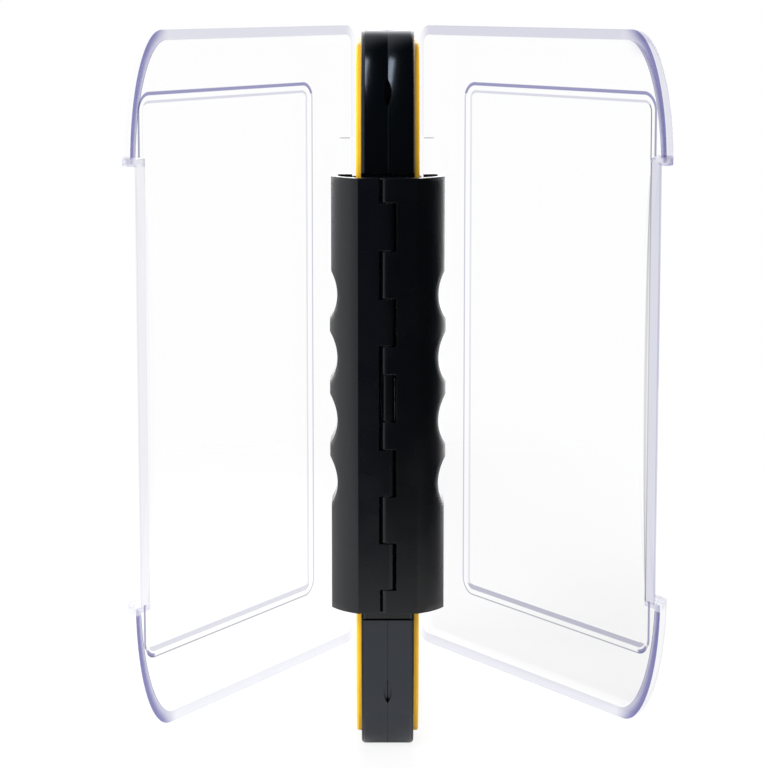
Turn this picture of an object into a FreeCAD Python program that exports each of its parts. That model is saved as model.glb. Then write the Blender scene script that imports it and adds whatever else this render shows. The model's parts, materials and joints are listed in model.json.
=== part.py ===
import FreeCAD, Part
import math
import os

# A double-sided fly box that stands on its end.
# X runs to the right, Y runs from the grip towards the hinges and Z runs up.
# The lids are built closed in their own axes and then stand open at their rest angles.

SIZES = {
    # whole case
    "case_length": 205.0,
    "case_depth": 121.4,
    "corner_depth": 15.5,
    "corner_height": 39.0,
    "rear_radius": 5.5,
    # frame half
    "frame_half": 7.4,
    "frame_floor": 1.2,
    "frame_wall": 6.0,
    "cavity_radius": 3.0,
    "end_drop": 1.9,
    "seam_chamfer": 0.06,
    "frame_round": 1.1,
    "recess_low": 40.3,
    "recess_length": 125.7,
    "recess_depth": 0.8,
    "slot_half_width": 1.1,
    "slot_half_length": 3.7,
    "slot_depth": 2.4,
    "slot_inset_low": 19.0,
    "slot_inset_high": 17.1,
    # seal
    "seal_inset": 1.8,
    "seal_width": 3.6,
    "seal_seat": 1.0,
    "seal_proud": 1.4,
    "seal_round": 0.6,
    "seal_clearance": 0.3,
    # foam
    "foam_thickness": 2.6,
    "foam_gap": 0.4,
    "slit_length": 7.0,
    "slit_width": 0.5,
    "slit_depth": 2.0,
    "slit_pitch_z": 11.0,
    "slit_pitch_y": 7.5,
    "slit_margin_z": 18.0,
    "slit_margin_y": 12.0,
    # lid
    "lid_front_gap": 1.5,
    "lid_depth": 6.0,
    "lid_wall": 2.0,
    "lid_end_wall": 3.0,
    "lid_round": 5.8,
    "lid_inner_round": 3.8,
    "lid_end_gap": 0.3,
    "panel_step": 0.6,
    "panel_slope": 2.4,
    "panel_radius": 5.0,
    "panel_margin_low": 20.2,
    "panel_margin_high": 18.7,
    "panel_margin_hinge": 22.2,
    "panel_margin_free": 9.3,
    "notch_length": 127.6,
    "notch_setback": 2.2,
    "notch_edge": 0.4,
    "notch_band": 4.4,
    "scoop_run": 8.2,
    "scoop_bow": 4.8,
    "scoop_inside": 0.9,
    # lid hinges
    "hinge_setout": 2.6,
    "barrel_radius": 2.3,
    "hinge_pin_radius": 1.0,
    "pin_clearance": 0.05,
    "pin_seat": 0.02,
    "hinge_end": 37.4,
    "hinge_group": 40.0,
    "knuckle_gap": 0.3,
    "lid_knuckle": 12.0,
    "hinge_cap": 1.5,
    "web_inner": 5.0,
    "web_root": 0.9,
    "web_back": 1.5,
    "left_open": 31.2,
    "right_open": 34.9,
    # grip latches
    "grip_height": 105.7,
    "grip_half_length": 60.0,
    "grip_proud": 13.0,
    "grip_crown": 0.2,
    "grip_face_half": 8.1,
    "grip_half_width": 15.9,
    "grip_flank_inset": 0.4,
    "grip_shoulder": 8.4,
    "shoulder_bulge": 1.0,
    "grip_wall": 2.3,
    "groove_pitch": 17.4,
    "groove_rise": 1.8,
    "groove_depth": 2.1,
    "groove_width": 14.4,
    "lobe_radius": 1.2,
    "latch_barrel": 2.2,
    "latch_relief": 2.4,
    "relief_clearance": 0.25,
    "latch_pin_radius": 1.0,
    "latch_pin_inset": 0.5,
    "lug_half_length": 6.45,
    "lug_radius": 1.9,
    "lug_web": 2.4,
    "lip_reach": 6.1,
    "lip_thickness": 1.8,
    "lip_clearance": 0.4,
    # bracket
    "bracket_half_width": 6.0,
    "bracket_thickness": 1.4,
    "bracket_gap": 0.1,
    # overrun of every cutting tool past the face that it cuts
    "overrun": 1.0,
}

NODE_FOLDER = "parts"

doc = FreeCAD.newDocument("fly_box")
sheet = doc.addObject("Spreadsheet::Sheet", "Sizes")
for row, (alias, value) in enumerate(SIZES.items(), start=1):
    sheet.set("A%d" % row, alias)
    sheet.set("B%d" % row, str(value))
    sheet.setAlias("B%d" % row, alias)
doc.recompute()


def size(alias):
    """The value of one driving dimension, read back from the sheet."""
    return float(sheet.get(alias))


def expr(text):
    """Expression text in which each known size name points at its cell."""
    out = []
    word = ""
    for letter in text + " ":
        if letter.isalnum() or letter == "_":
            word += letter
            continue
        out.append("Sizes." + word if word in SIZES else word)
        out.append(letter)
        word = ""
    return "".join(out).strip()


def bind(obj, **texts):
    """Binds properties to the sheet. x, y and z stand for the placement's base."""
    for prop, text in texts.items():
        path = "Placement.Base." + prop if prop in ("x", "y", "z") else prop
        obj.setExpression(path, expr(str(text)))
    return obj


def box(name, x, y, z, dx, dy, dz):
    obj = doc.addObject("Part::Box", name)
    return bind(obj, x=x, y=y, z=z, Length=dx, Width=dy, Height=dz)


def rod(name, x, y, z, radius, height):
    """An upright round rod."""
    obj = doc.addObject("Part::Cylinder", name)
    return bind(obj, x=x, y=y, z=z, Radius=radius, Height=height)


def fuse(name, *parts):
    obj = doc.addObject("Part::MultiFuse", name)
    obj.Shapes = list(parts)
    obj.Refine = True
    return obj


def cut(name, base, tool):
    obj = doc.addObject("Part::Cut", name)
    obj.Base = base
    obj.Tool = tool
    return obj


def common(name, first, second):
    obj = doc.addObject("Part::MultiCommon", name)
    obj.Shapes = [first, second]
    return obj


def mirrored(name, source):
    """The other hand of a piece, across the seam plane."""
    obj = doc.addObject("Part::Mirroring", name)
    obj.Source = source
    obj.Normal = FreeCAD.Vector(1, 0, 0)
    return obj


def upright_ellipse(name, x, y, z, depth_axis, height_axis, dx):
    """An elliptic disc across X: height_axis along Z and depth_axis along Y."""
    edge = doc.addObject("Part::Ellipse", name + "_edge")
    edge.Placement.Rotation = FreeCAD.Rotation(FreeCAD.Vector(0, 1, 0), -90)
    bind(edge, x=x, y=y, z=z, MajorRadius=height_axis, MinorRadius=depth_axis)
    disc = doc.addObject("Part::Extrusion", name)
    disc.Base = edge
    disc.DirMode = "Custom"
    disc.Dir = FreeCAD.Vector(1, 0, 0)
    disc.Solid = True
    return bind(disc, LengthFwd=dx)


def corner_rod(name, x, y, z, radius, dx):
    obj = doc.addObject("Part::Cylinder", name)
    obj.Placement.Rotation = FreeCAD.Rotation(FreeCAD.Vector(0, 1, 0), 90)
    return bind(obj, x=x, y=y, z=z, Radius=radius, Height=dx)


def case_plate(name, x, dx, front, rear, low, high, inset, corner="rear_radius"):
    """A plate of the case's outline: elliptic front corners and round rear ones.

    front, rear, low and high bound the outline before it is drawn in by inset.
    corner is the radius of its rear corners.
    """
    a = "(corner_depth - (%s))" % inset
    b = "(corner_height - (%s))" % inset
    r = "(%s)" % corner
    y0 = "((%s) + (%s))" % (front, inset)
    y1 = "((%s) - (%s))" % (rear, inset)
    z0 = "((%s) + (%s))" % (low, inset)
    z1 = "((%s) - (%s))" % (high, inset)
    parts = [
        box(name + "_middle", x, y0, z0 + " + " + b, dx, y1 + " - " + y0,
            z1 + " - " + z0 + " - 2 * " + b),
        box(name + "_ends", x, y0 + " + " + a, z0, dx,
            y1 + " - " + y0 + " - " + a + " - " + r, z1 + " - " + z0),
        box(name + "_back", x, y1 + " - " + r, z0 + " + " + r, dx, r,
            z1 + " - " + z0 + " - 2 * " + r),
        upright_ellipse(name + "_low", x, y0 + " + " + a, z0 + " + " + b, a, b, dx),
        upright_ellipse(name + "_high", x, y0 + " + " + a, z1 + " - " + b, a, b, dx),
        corner_rod(name + "_rear_low", x, y1 + " - " + r, z0 + " + " + r, r, dx),
        corner_rod(name + "_rear_high", x, y1 + " - " + r, z1 + " - " + r, r, dx),
    ]
    return fuse(name, *parts)


def edges_at_x(shape, x):
    """Numbers of the edges that lie wholly in the plane at x."""
    tolerance = 1e-4
    found = []
    for number, edge in enumerate(shape.Edges, start=1):
        bounds = edge.BoundBox
        if abs(bounds.XMin - x) < tolerance and abs(bounds.XMax - x) < tolerance:
            found.append(number)
    return found


def rounded(name, base, x, radius, kind="Part::Fillet"):
    """Rounds or chamfers every edge of base that lies in the plane at x."""
    doc.recompute()
    obj = doc.addObject(kind, name)
    obj.Base = base
    obj.Edges = [(number, radius, radius) for number in edges_at_x(base.Shape, x)]
    return obj


# Places that several pieces share
INNER_CASE = ("0", "case_depth", "end_drop", "case_length - end_drop")
HINGE_X = "frame_half + seal_proud + seal_clearance"
HINGE_Y = "case_depth + hinge_setout"
PIN_Y = "latch_barrel - grip_proud"
GRIP_LOW = "grip_height - grip_half_length"
LID_WIDTH = "case_depth + hinge_setout - lid_front_gap"
HINGE_GROUPS = (("low", "hinge_end"), ("high", "case_length - hinge_end - hinge_group"))

# Moves the origin from the seam's front edge to the middle of the whole box's footprint
reach_left = "(%s - lid_round) * sin(left_open * 1 deg)" % LID_WIDTH
reach_right = "(%s - lid_round) * sin(right_open * 1 deg)" % LID_WIDTH
depth_left = "(lid_depth - lid_round) * cos(left_open * 1 deg)"
depth_right = "(lid_depth - lid_round) * cos(right_open * 1 deg)"
SHIFT_X = "(%s + %s - %s - %s) / 2" % (reach_left, depth_left, reach_right, depth_right)
SHIFT_Y = "(grip_proud - (%s) - barrel_radius) / 2" % HINGE_Y


def node(name, solid, x="0", y="0", angle=None):
    """A finished sub-part: its label names its file, and its placement stands it in the box."""
    obj = doc.addObject("Part::Compound", name)
    obj.Links = [solid]
    obj.Label = name
    bind(obj, x="%s + (%s)" % (SHIFT_X, x), y="%s + (%s)" % (SHIFT_Y, y))
    if angle:
        obj.Placement.Rotation = FreeCAD.Rotation(FreeCAD.Vector(0, 0, 1), 1)
        obj.setExpression("Placement.Rotation.Angle", expr(angle))
    nodes.append(obj)
    return obj


nodes = []


# Frame half: a shallow tray with a seal groove, front recess, slots and two hinge knuckles
def frame_half():
    case = ("0", "case_depth", "0", "case_length")
    tray = case_plate("tray", "0", "frame_half", *case, "0")
    tray = rounded("tray_seam", tray, 0, size("seam_chamfer"), "Part::Chamfer")
    tray = rounded("tray_round", tray, size("frame_half"), size("frame_round"))
    cavity = case_plate("tray_cavity", "frame_floor", "frame_half - frame_floor + overrun",
                        *INNER_CASE, "frame_wall", "cavity_radius")
    groove = seal_ring("tray_groove", "frame_half - seal_seat", "seal_seat + overrun")
    recess = box("tray_recess", "-overrun", "-overrun", "recess_low",
                 "frame_half + 2 * overrun", "recess_depth + overrun", "recess_length")
    pocket = box("tray_pocket", "-overrun", "-overrun", "recess_low",
                 "bracket_half_width + bracket_gap + overrun",
                 "recess_depth + bracket_thickness + overrun", "recess_length")
    tools = [cavity, groove, recess, pocket]
    tools.append(slot("slot_low", "slot_inset_low", "slot_inset_low"))
    tools.append(slot("slot_high", "case_length - slot_inset_high", "slot_inset_high"))
    body = cut("tray_cut", tray, fuse("tray_tools", *tools))
    knuckles = []
    for name, z in HINGE_GROUPS:
        tag = "frame_knuckle_" + name
        start = z + " + lid_knuckle"
        tall = "hinge_group - 2 * lid_knuckle"
        knuckles.append(rod(tag, HINGE_X, HINGE_Y, start, "barrel_radius", tall))
        knuckles.append(box(tag + "_web", "web_inner", "case_depth - web_root", start,
                            HINGE_X + " - web_inner", "web_root + hinge_setout + web_back", tall))
    body = fuse("tray_knuckled", body, *knuckles)
    bore = rod("frame_bore", HINGE_X, HINGE_Y, "0", "hinge_pin_radius + pin_seat", "case_length")
    return cut("frame_half_solid", body, bore)


def seal_ring(name, x, dx):
    outer = case_plate(name + "_outer", x, dx, *INNER_CASE, "seal_inset",
                       "rear_radius - seal_inset")
    inner = case_plate(name + "_inner", x + " - overrun", dx + " + 2 * overrun", *INNER_CASE,
                       "seal_inset + seal_width", "cavity_radius")
    return cut(name, outer, inner)


def slot(name, z, inset):
    """Half of a pointed slot on the seam, as deep as the wall's curve plus its own depth."""
    radius = "((slot_half_length ^ 2 + slot_half_width ^ 2) / (2 * slot_half_width))"
    obj = doc.addObject("Part::Cylinder", name)
    obj.Placement.Rotation = FreeCAD.Rotation(FreeCAD.Vector(1, 0, 0), -90)
    rise = "(case_length / 2 - corner_height)"
    up = "((case_length / 2 - %s - %s) / corner_height)" % (inset, rise)
    wall = "corner_depth * (1 - sqrt(1 - %s ^ 2))" % up
    return bind(obj, x="slot_half_width - " + radius, y="-overrun", z=z, Radius=radius,
                Height="overrun + slot_depth + " + wall)


# Lid, closed, in its own axes: the hinge axis is the origin, X points out of the box
def lid():
    edge = ("-(%s)" % LID_WIDTH, "-hinge_setout", "lid_end_gap", "case_length - lid_end_gap")
    within = ("-(%s) + lid_wall" % LID_WIDTH, "-hinge_setout - lid_wall",
              "lid_end_gap + lid_end_wall", "case_length - lid_end_gap - lid_end_wall")
    outer = case_plate("lid_outer", "0", "lid_depth", *edge, "0")
    outer = rounded("lid_outer_round", outer, size("lid_depth"), size("lid_round"))
    skin = fuse("lid_skin", outer, panel("lid_panel_outer", 0))
    shell = cut("lid_notched", skin, notch("lid_notch_outer", False))
    inner = case_plate("lid_inner", "-overrun", "lid_depth - lid_wall + overrun", *within, "0",
                       "cavity_radius")
    inner = rounded("lid_inner_round_edge", inner, size("lid_depth") - size("lid_wall"),
                    size("lid_inner_round"))
    hollow = fuse("lid_hollow", inner, panel("lid_panel_inner", size("lid_wall")))
    hollow = cut("lid_hollow_cut", hollow, notch("lid_notch_inner", True))
    shell = cut("lid_shell", shell, hollow)
    return cut("lid_solid", fuse("lid_whole", shell, *lid_knuckles()), lid_bores())


def panel(name, wall):
    """The raised middle of a lid, at the outer face or one wall inside it: a low sloping step."""
    level = size("lid_depth") - wall
    foot = panel_outline(level, 0)
    top = panel_outline(level + size("panel_step"), size("panel_slope"))
    obj = doc.addObject("Part::Feature", name)
    obj.Shape = Part.makeLoft([foot, top], True, True)
    return obj


def lid_width():
    """Distance from the hinge axis to a lid's free edge."""
    return size("case_depth") + size("hinge_setout") - size("lid_front_gap")


def panel_outline(x, inset):
    """Round-cornered outline of the raised panel, drawn in by inset."""
    front = -lid_width() + size("panel_margin_free") + inset
    rear = -size("panel_margin_hinge") - inset
    low = size("panel_margin_low") + inset
    high = size("case_length") - size("panel_margin_high") - inset
    radius = size("panel_radius")
    arc = radius * (1 - math.sqrt(0.5))
    points = [
        (front + radius, low), (rear - radius, low), (rear - arc, low + arc), (rear, low + radius),
        (rear, high - radius), (rear - arc, high - arc), (rear - radius, high),
        (front + radius, high), (front + arc, high - arc), (front, high - radius),
        (front, low + radius), (front + arc, low + arc),
    ]
    spots = [FreeCAD.Vector(x, y, z) for y, z in points]
    edges = []
    for first in range(0, len(spots), 3):
        line_start, line_end, arc_middle = spots[first:first + 3]
        arc_end = spots[(first + 3) % len(spots)]
        edges.append(Part.LineSegment(line_start, line_end).toShape())
        edges.append(Part.Arc(line_end, arc_middle, arc_end).toShape())
    return Part.Wire(edges)


def notch(name, inside):
    """What the finger notch takes away: a straight set-back rim that rises to a bowed scoop.

    The inside one stands off by a wall, so that it leaves the notch its own wall.
    """
    half = size("notch_length") / 2
    rim = -lid_width() + size("notch_setback")
    run = rim + size("scoop_run")
    top = size("lid_depth") + size("panel_step")
    foot = size("notch_edge")
    if inside:
        half += size("lid_wall")
        rim += size("notch_band")
        run += size("scoop_inside")
        top -= size("lid_wall")
        foot = 0.0
    spread = size("overrun")
    middle = size("case_length") / 2
    front = -lid_width() - spread

    def outline(x, edge, bow):
        corners = [FreeCAD.Vector(x, front, middle - half), FreeCAD.Vector(x, edge, middle - half),
                   FreeCAD.Vector(x, edge, middle + half), FreeCAD.Vector(x, front, middle + half)]
        deepest = FreeCAD.Vector(x, edge + bow, middle)
        inner = Part.LineSegment(corners[1], corners[2])
        if bow:
            inner = Part.Arc(corners[1], deepest, corners[2])
        edges = [Part.LineSegment(corners[0], corners[1]), inner,
                 Part.LineSegment(corners[2], corners[3]), Part.LineSegment(corners[3], corners[0])]
        return Part.Wire([edge.toShape() for edge in edges])

    below = Part.Face(outline(-spread, rim, 0)).extrude(FreeCAD.Vector(spread + foot, 0, 0))
    slope = Part.makeLoft([outline(foot, rim, 0), outline(top, run, size("scoop_bow"))], True, True)
    above = Part.Face(outline(top, run, size("scoop_bow"))).extrude(FreeCAD.Vector(spread, 0, 0))
    obj = doc.addObject("Part::Feature", name)
    obj.Shape = below.fuse([slope, above])
    return obj


def lid_knuckles():
    """The lid's own hinge knuckles, one at each end of a group, with the webs that carry them."""
    parts = []
    length = "lid_knuckle - knuckle_gap"
    for name, z in HINGE_GROUPS:
        second = z + " + hinge_group - lid_knuckle + knuckle_gap"
        for step, start in (("a", z), ("b", second)):
            tag = "lid_knuckle_%s_%s" % (name, step)
            parts.append(rod(tag, "0", "0", start, "barrel_radius", length))
            parts.append(box(tag + "_web", "0", "-hinge_setout - lid_wall", start,
                             "barrel_radius", "hinge_setout + lid_wall", length))
    return parts


def lid_bores():
    """One blind bore for each group's pin, closed by a cap at the end of the lid."""
    length = "hinge_group - hinge_cap + knuckle_gap + overrun"
    low = rod("lid_bore_low", "0", "0", "hinge_end + hinge_cap - knuckle_gap",
              "hinge_pin_radius + pin_clearance", length)
    high = rod("lid_bore_high", "0", "0", "case_length - hinge_end - hinge_group - overrun",
               "hinge_pin_radius + pin_clearance", length)
    return fuse("lid_bores", low, high)


# Seal and foam
def seal():
    ring = seal_ring("seal_ring", "frame_half - seal_seat", "seal_seat + seal_proud")
    return rounded("seal_rounded", ring, size("frame_half") + size("seal_proud"),
                   size("seal_round"))


def foam():
    slab = case_plate("foam_slab", "frame_floor", "foam_thickness", *INNER_CASE,
                      "frame_wall + foam_gap", "cavity_radius - foam_gap")
    slits = doc.addObject("Part::Feature", "foam_slits")
    slits.Shape = slit_rows()
    return cut("foam_solid", slab, slits)


def slit_rows():
    """Rows of short slits, each row staggered by half a pitch from the last."""
    length, depth = size("case_length"), size("case_depth")
    top = size("frame_floor") + size("foam_thickness")
    columns = int((depth - 2 * size("slit_margin_y")) / size("slit_pitch_y")) + 1
    rows = int((length - 2 * size("slit_margin_z")) / size("slit_pitch_z"))
    boxes = []
    for column in range(columns):
        y = depth / 2 + (column - (columns - 1) / 2) * size("slit_pitch_y")
        count = rows - column % 2
        for row in range(count):
            z = length / 2 + (row - (count - 1) / 2) * size("slit_pitch_z")
            corner = FreeCAD.Vector(top - size("slit_depth"), y - size("slit_width") / 2,
                                    z - size("slit_length") / 2)
            boxes.append(Part.makeBox(size("slit_depth") + size("overrun"), size("slit_width"),
                                      size("slit_length"), corner))
    return Part.makeCompound(boxes)


# Grip latch: one half shell of the grip, with its share of the knuckles
# Shares of the way from the lug's end to the grip's end at which the knuckles end
KNUCKLE_SHARES = (0.0, 0.146592, 0.387488, 0.63212, 0.874883, 1.0)


def knuckle_end(end_share):
    """Where a knuckle ends, counted from the grip's middle."""
    return "(lug_half_length + (grip_half_length - lug_half_length) * %s)" % end_share


def knuckle_zones():
    """Lower end, upper end and owner of each knuckle zone: inner zones belong to the right."""
    zones = [("-lug_half_length", "lug_half_length", "lug")]
    ends = [knuckle_end(end_share) for end_share in KNUCKLE_SHARES]
    for index, (near, far) in enumerate(zip(ends, ends[1:])):
        owner = "right" if index % 2 == 0 else "left"
        zones.append((near, far, owner))
        zones.append(("-" + far, "-" + near, owner))
    return zones


def latch(side):
    """Builds the right-hand shell; the left one is mirrored after its own knuckles are cut."""
    shell = doc.addObject("Part::Feature", side + "_shell")
    shell.Shape = grip_section()
    wave = doc.addObject("Part::Feature", side + "_grip_side")
    wave.Shape = grip_side()
    shell = common(side + "_formed", shell, wave)
    barrels = []
    reliefs = []
    for number, (low, high, owner) in enumerate(knuckle_zones()):
        tag = "%s_zone_%d" % (side, number)
        z = "grip_height + (%s)" % low
        length = "(%s) - (%s)" % (high, low)
        if owner == side:
            start = z + " + knuckle_gap / 2"
            barrels.append(rod(tag, "0", PIN_Y, start, "latch_barrel", length + " - knuckle_gap"))
            continue
        start = z + " - knuckle_gap / 2"
        tall = length + " + knuckle_gap"
        reliefs.append(rod(tag, "0", PIN_Y, start, "latch_barrel + relief_clearance", tall))
        reliefs.append(box(tag + "_face", "-overrun", "-grip_proud - overrun", start,
                           "latch_relief + overrun", "latch_barrel + overrun", tall))
    shell = cut(side + "_relieved", shell, fuse(side + "_reliefs", *reliefs))
    shell = fuse(side + "_knuckled", shell, *barrels)
    bore = rod(side + "_bore", "0", PIN_Y, GRIP_LOW + " - overrun",
               "latch_pin_radius + pin_clearance", "2 * (grip_half_length + overrun)")
    return cut(side + "_latch_solid", shell, bore)


def grip_section():
    """Half shell in plan, swept up the grip: front face, shoulder, side and inward lip."""
    proud, wall = size("grip_proud"), size("grip_wall")
    crown, face = size("grip_crown"), size("grip_face_half")
    side, shoulder = size("grip_half_width"), size("grip_shoulder")
    back = size("lid_front_gap") + size("notch_setback") - size("lip_clearance")
    lip_end = side - size("lip_reach")
    lip = size("lip_thickness")
    z = size("grip_height") - size("grip_half_length")

    def spot(x, y):
        return FreeCAD.Vector(x, y, z)

    def bulged(start, end, height):
        """The middle of an arc that stands out from its chord, away from the grip's axis."""
        chord = end - start
        out = FreeCAD.Vector(chord.y, -chord.x, 0)
        return (start + end) * 0.5 + out * (height / out.Length)

    inner_side = side - wall
    start, face_end = spot(0, -proud), spot(face, crown - proud)
    shoulder_end, back_outer = spot(side, shoulder - proud), spot(side, back)
    lip_outer, lip_inner = spot(lip_end, back), spot(lip_end, back - lip)
    corner, inner_shoulder = spot(inner_side, back - lip), spot(inner_side, shoulder - proud)
    inner_face, inner_start = spot(face, crown - proud + wall), spot(0, wall - proud)
    bulge = size("shoulder_bulge")
    outer_middle = bulged(face_end, shoulder_end, bulge)
    inner_middle = bulged(inner_face, inner_shoulder, bulge * (side - wall - face) / (side - face))
    edges = [
        Part.LineSegment(start, face_end),
        Part.Arc(face_end, outer_middle, shoulder_end),
        Part.LineSegment(shoulder_end, back_outer),
        Part.LineSegment(back_outer, lip_outer),
        Part.LineSegment(lip_outer, lip_inner),
        Part.LineSegment(lip_inner, corner),
        Part.LineSegment(corner, inner_shoulder),
        Part.Arc(inner_shoulder, inner_middle, inner_face),
        Part.LineSegment(inner_face, inner_start),
        Part.LineSegment(inner_start, start),
    ]
    wire = Part.Wire([edge.toShape() for edge in edges])
    height = FreeCAD.Vector(0, 0, 2 * size("grip_half_length"))
    return Part.Face(wire).extrude(height)


def grip_side():
    """Side silhouette of the grip: four finger grooves with lobes that stand out between them."""
    side, depth = size("grip_half_width"), size("groove_depth")
    flank = side - size("grip_flank_inset")
    half_width, lobe = size("groove_width") / 2, size("lobe_radius")
    middle, half = size("grip_height"), size("grip_half_length")
    centre = middle + size("groove_rise")
    spread = size("overrun")
    front = -size("grip_proud") - spread
    pitch = size("groove_pitch")
    # A groove arc of radius hollow meets a lobe arc of radius lobe where both lean alike
    hollow = (half_width ** 2 + depth ** 2) / (2 * depth) - lobe
    axis = side - depth + hollow
    touch = hollow / (hollow + lobe)

    def spot(x, z):
        return FreeCAD.Vector(x, front, z)

    def corner(groove, edge, way):
        """Where the flank at edge leaves off, the middle of the lobe's arc and where it ends."""
        lobe_x = edge - lobe
        reach = math.sqrt((hollow + lobe) ** 2 - (axis - lobe_x) ** 2)
        lobe_z = groove + way * reach
        end = spot(lobe_x + (axis - lobe_x) * (1 - touch), lobe_z + (groove - lobe_z) * (1 - touch))
        lean = math.atan2(abs(end.z - lobe_z), end.x - lobe_x) / 2
        turn = spot(lobe_x + lobe * math.cos(lean), lobe_z - way * lobe * math.sin(lean))
        return spot(edge, lobe_z), turn, end

    edges = []
    start = spot(-spread, middle - half - spread)
    here = spot(flank, middle - half - spread)
    edges.append(Part.LineSegment(start, here))
    count = 4
    for index in range(count):
        z = centre + (index - (count - 1) / 2) * pitch
        leave, turn, enter = corner(z, flank if index == 0 else side, -1)
        edges.append(Part.LineSegment(here, leave))
        edges.append(Part.Arc(leave, turn, enter))
        here, turn, rise = corner(z, flank if index == count - 1 else side, 1)
        edges.append(Part.Arc(enter, spot(side - depth, z), rise))
        edges.append(Part.Arc(rise, turn, here))
    top = spot(flank, middle + half + spread)
    edges.append(Part.LineSegment(here, top))
    end = spot(-spread, middle + half + spread)
    edges.append(Part.LineSegment(top, end))
    edges.append(Part.LineSegment(end, start))
    wire = Part.Wire([edge.toShape() for edge in edges])
    depth_run = size("grip_proud") + size("case_depth") / 2
    return Part.Face(wire).extrude(FreeCAD.Vector(0, depth_run, 0))


# Bracket in the frame's front recess, with the lug that holds the grip's pin
def bracket():
    low = "recess_low + bracket_gap"
    plate = box("bracket_plate", "-bracket_half_width", "recess_depth", low,
                "2 * bracket_half_width", "bracket_thickness - bracket_gap",
                "recess_length - 2 * bracket_gap")
    start = "grip_height - lug_half_length + knuckle_gap / 2"
    tall = "2 * lug_half_length - knuckle_gap"
    lug = rod("bracket_lug", "0", PIN_Y, start, "lug_radius", tall)
    web = box("bracket_web", "-lug_web / 2", PIN_Y, start, "lug_web",
              "recess_depth + bracket_gap - (%s)" % PIN_Y, tall)
    body = fuse("bracket_body", plate, lug, web)
    bore = rod("bracket_bore", "0", PIN_Y, start + " - overrun", "latch_pin_radius + pin_seat",
               tall + " + 2 * overrun")
    return cut("bracket_solid", body, bore)


def hinge_pin(name, z):
    """A steel pin that runs from the capped end of a group to just short of its open end."""
    return rod(name, HINGE_X, HINGE_Y, z, "hinge_pin_radius", "hinge_group - hinge_cap - knuckle_gap")


right_frame = frame_half()
node("frame_right_half", right_frame)
node("frame_left_half", mirrored("frame_left_solid", right_frame))

right_seal = seal()
node("seal_right", right_seal)
node("seal_left", mirrored("seal_left_solid", right_seal))

right_foam = foam()
node("foam_right", right_foam)
node("foam_left", mirrored("foam_left_solid", right_foam))

right_lid = lid()
node("lid_right", right_lid, HINGE_X, HINGE_Y, "right_open")
node("lid_left", mirrored("lid_left_solid", right_lid), "-(%s)" % HINGE_X, HINGE_Y, "-left_open")

low_pin_z = "hinge_end + hinge_cap"
high_pin_z = "case_length - hinge_end - hinge_group + knuckle_gap"
for place, pin_z in (("lower", low_pin_z), ("upper", high_pin_z)):
    right_pin = hinge_pin("right_pin_" + place, pin_z)
    node("hinge_pin_right_" + place, right_pin)
    node("hinge_pin_left_" + place, mirrored("left_pin_" + place, right_pin))

node("latch_right", latch("right"))
node("latch_left", mirrored("left_latch_mirrored", latch("left")))
node("latch_bracket", bracket())
grip_pin = rod("grip_pin", "0", PIN_Y, GRIP_LOW + " + latch_pin_inset", "latch_pin_radius",
               "2 * (grip_half_length - latch_pin_inset)")
node("latch_pin", grip_pin)

doc.recompute()
for obj in doc.Objects:
    if {"Invalid", "Error"} & set(obj.State):
        raise RuntimeError("%s did not build" % obj.Name)
for obj in nodes:
    if obj.Shape.isNull() or not obj.Shape.isValid():
        raise RuntimeError("%s is not a valid solid" % obj.Label)

os.makedirs(NODE_FOLDER, exist_ok=True)
for obj in nodes:
    obj.Shape.exportStep(os.path.join(NODE_FOLDER, obj.Label + ".step"))
    bounds = obj.Shape.BoundBox
    corners = (bounds.XMin, bounds.YMin, bounds.ZMin, bounds.XMax, bounds.YMax, bounds.ZMax)
    print(obj.Label, len(obj.Shape.Solids), "solid,", round(obj.Shape.Volume), "mm3,",
          " ".join("%.2f" % corner for corner in corners))
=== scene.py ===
import json
import math

import bpy
from bpy.props import FloatProperty, FloatVectorProperty, PointerProperty
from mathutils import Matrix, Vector


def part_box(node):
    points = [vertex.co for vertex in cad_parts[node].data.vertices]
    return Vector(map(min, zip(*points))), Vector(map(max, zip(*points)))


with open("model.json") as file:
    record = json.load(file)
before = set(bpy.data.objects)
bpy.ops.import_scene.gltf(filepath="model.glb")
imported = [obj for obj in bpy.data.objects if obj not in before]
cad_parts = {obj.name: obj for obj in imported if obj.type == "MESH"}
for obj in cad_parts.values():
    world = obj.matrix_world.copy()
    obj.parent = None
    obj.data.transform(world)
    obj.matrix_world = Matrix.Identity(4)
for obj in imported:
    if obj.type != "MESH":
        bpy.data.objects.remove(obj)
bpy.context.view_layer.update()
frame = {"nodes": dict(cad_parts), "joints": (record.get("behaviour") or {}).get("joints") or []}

bl_info = {
    "name": "Fly Box",
    "version": (1, 0, 0),
    "blender": (4, 5, 0),
    "location": "View3D > Sidebar > Fly Box",
    "description": "Finishes and studio for a double-sided fly box with clear lids and a grip",
    "category": "Object",
}

JOINTS = {joint["name"]: joint for joint in frame["joints"]}
MILLIMETRE = 0.001
WHITE = (1.0, 1.0, 1.0, 1.0)

# Places on the box in millimetres. On a lid, reach runs from the hinge to the free side, depth
# out of the box, and height up. A pair is where a change starts and where it ends. Three values
# are the middle of a line, its width, and the soft edge beyond it.
CASE_MIDDLE = 102.5
UPPER_HALF = (100.0, 104.0)
FREE_HALF = (60.0, 61.0)
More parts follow.
